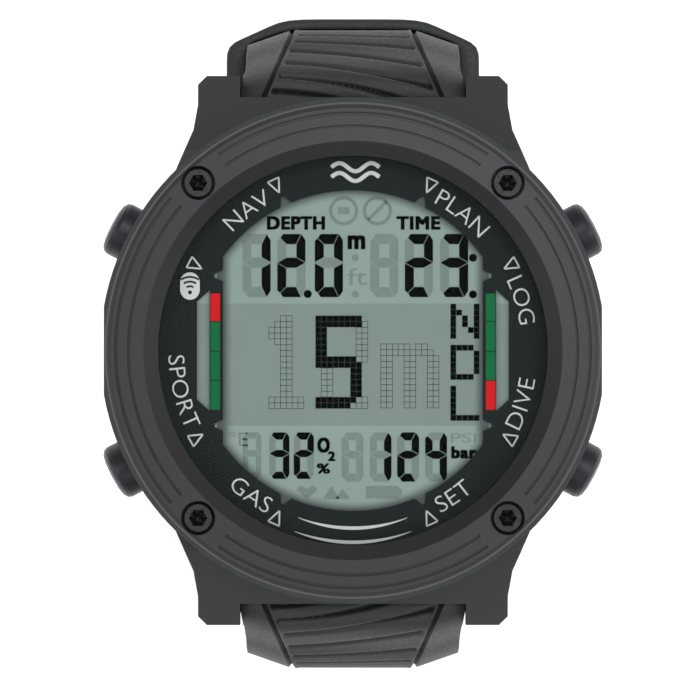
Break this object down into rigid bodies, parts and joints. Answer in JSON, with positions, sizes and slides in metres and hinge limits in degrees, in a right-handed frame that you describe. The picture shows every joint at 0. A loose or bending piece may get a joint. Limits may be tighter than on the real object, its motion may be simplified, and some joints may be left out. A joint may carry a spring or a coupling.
{
  "type": "dive computer",
  "caption": "Round wrist dive computer with screwed bezel, side pushers, segment display and a two-piece curved rubber strap with buckle.",
  "frame": {"origin": "centre of the case back's flat outer face, on the battery cap", "axes": "+Z out through the display, +X to 3 o'clock, +Y to 12 o'clock"},
  "size_m": [0.0512, 0.0674, 0.0759],
  "materials": {
    "case_polymer": "fine matte",
    "bezel_metal": "satin dark coating over turned steel",
    "screw_steel": "glossy black",
    "lens_glass": "polished",
    "seal_rubber": "smooth",
    "dial_print": "fine matte print",
    "display_glass": "reflective liquid crystal",
    "clear_plastic": "clear moulding",
    "board_green": "solder mask",
    "chip_black": "moulded epoxy",
    "inner_plastic": "moulded",
    "nickel_steel": "nickel plated",
    "back_steel": "brushed",
    "pusher_metal": "satin dark coating",
    "brass": "turned",
    "spring_steel": "drawn wire",
    "strap_rubber": "moulded matte",
    "buckle_steel": "satin dark coating"
  },
  "bodies": {
    "case": {"case_body": "case_polymer", "bezel": "bezel_metal", "bezel_screws": "screw_steel", "lens": "lens_glass", "case_back": "back_steel", "case_back_screws": "screw_steel", "sensor_port_grille": "back_steel", "lens_gasket": "seal_rubber", "dial_ring": "dial_print", "lcd_glass": "display_glass", "light_guide": "clear_plastic", "lcd_connectors": "seal_rubber", "circuit_board": "board_green", "processor_chip": "chip_black", "memory_chip": "chip_black", "radio_module": "chip_black", "compass_sensor": "chip_black", "motion_sensor": "chip_black", "timing_crystal": "chip_black", "voltage_regulator": "chip_black", "backlight_leds": "clear_plastic", "piezo_buzzer": "nickel_steel", "button_contacts": "spring_steel", "module_frame": "inner_plastic", "battery": "nickel_steel", "battery_tray": "inner_plastic", "battery_contact_minus": "nickel_steel", "battery_contact_plus": "nickel_steel", "case_back_gasket": "seal_rubber", "pressure_sensor": "nickel_steel", "button_bushings": "brass", "upper_spring_bar": "spring_steel", "lower_spring_bar": "spring_steel"},
    "pusher_upper_right": {"button_upper_right": "pusher_metal", "button_clip_upper_right": "spring_steel", "button_ring_upper_right": "seal_rubber", "button_spring_upper_right": "spring_steel"},
    "pusher_upper_left": {"button_upper_left": "pusher_metal", "button_clip_upper_left": "spring_steel", "button_ring_upper_left": "seal_rubber", "button_spring_upper_left": "spring_steel"},
    "pusher_lower_left": {"button_lower_left": "pusher_metal", "button_clip_lower_left": "spring_steel", "button_ring_lower_left": "seal_rubber", "button_spring_lower_left": "spring_steel"},
    "pusher_lower_right": {"button_lower_right": "pusher_metal", "button_clip_lower_right": "spring_steel", "button_ring_lower_right": "seal_rubber", "button_spring_lower_right": "spring_steel"},
    "cap_seal": {"battery_cap_ring": "seal_rubber"},
    "battery_cap": {"battery_cap": "case_polymer"},
    "buckle_strap": {"strap_upper": "strap_rubber", "keeper_fixed": "strap_rubber"},
    "tail_strap": {"strap_lower": "strap_rubber"},
    "loose_keeper": {"keeper_free": "strap_rubber"},
    "buckle": {"buckle_frame": "buckle_steel", "buckle_bar": "spring_steel"},
    "tongue": {"buckle_tongue": "buckle_steel"}
  },
  "joints": [
    {"name": "push_upper_right", "type": "slide", "parent": "case", "child": "pusher_upper_right", "axis": [-0.887, -0.4617, 0], "range_m": [0, 0.001], "stiffness_N_per_m": 600, "springref_m": -0.0015, "deforming": ["button_spring_upper_right"]},
    {"name": "push_upper_left", "type": "slide", "parent": "case", "child": "pusher_upper_left", "axis": [0.887, -0.4617, 0], "range_m": [0, 0.001], "stiffness_N_per_m": 600, "springref_m": -0.0015, "deforming": ["button_spring_upper_left"]},
    {"name": "push_lower_left", "type": "slide", "parent": "case", "child": "pusher_lower_left", "axis": [0.887, 0.4617, 0], "range_m": [0, 0.001], "stiffness_N_per_m": 600, "springref_m": -0.0015, "deforming": ["button_spring_lower_left"]},
    {"name": "push_lower_right", "type": "slide", "parent": "case", "child": "pusher_lower_right", "axis": [-0.887, 0.4617, 0], "range_m": [0, 0.001], "stiffness_N_per_m": 600, "springref_m": -0.0015, "deforming": ["button_spring_lower_right"]},
    {"name": "cap_travel", "type": "slide", "parent": "case", "child": "cap_seal", "axis": [0, 0, -1], "range_m": [0, 0.0025]},
    {"name": "cap_turn", "type": "hinge", "parent": "cap_seal", "child": "battery_cap", "pos_m": [0, 0, 0.001], "axis": [0, 0, -1], "range_deg": [0, 910]},
    {"name": "buckle_strap_hinge", "type": "hinge", "parent": "case", "child": "buckle_strap", "pos_m": [0, 0.026, 0.0035], "axis": [1, 0, 0], "range_deg": [-20, 8]},
    {"name": "tail_strap_hinge", "type": "hinge", "parent": "case", "child": "tail_strap", "pos_m": [0, -0.026, 0.0035], "axis": [1, 0, 0], "range_deg": [-35, 0]},
    {"name": "keeper_slide", "type": "hinge", "parent": "buckle_strap", "child": "loose_keeper", "pos_m": [0, -0.0047, -0.00568], "axis": [-1, 0, 0], "range_deg": [-4, 28]},
    {"name": "buckle_hinge", "type": "hinge", "parent": "buckle_strap", "child": "buckle", "pos_m": [0, 0.00994, -0.03857], "axis": [1, 0, 0], "range_deg": [-60, 25]},
    {"name": "tongue_hinge", "type": "hinge", "parent": "buckle", "child": "tongue", "pos_m": [0, 0.00994, -0.03857], "axis": [1, 0, 0], "range_deg": [0, 75]}
  ],
  "couplings": [
    {"joint": "cap_turn", "follows": "cap_travel", "rad_per_m": 6283.2}
  ]
}
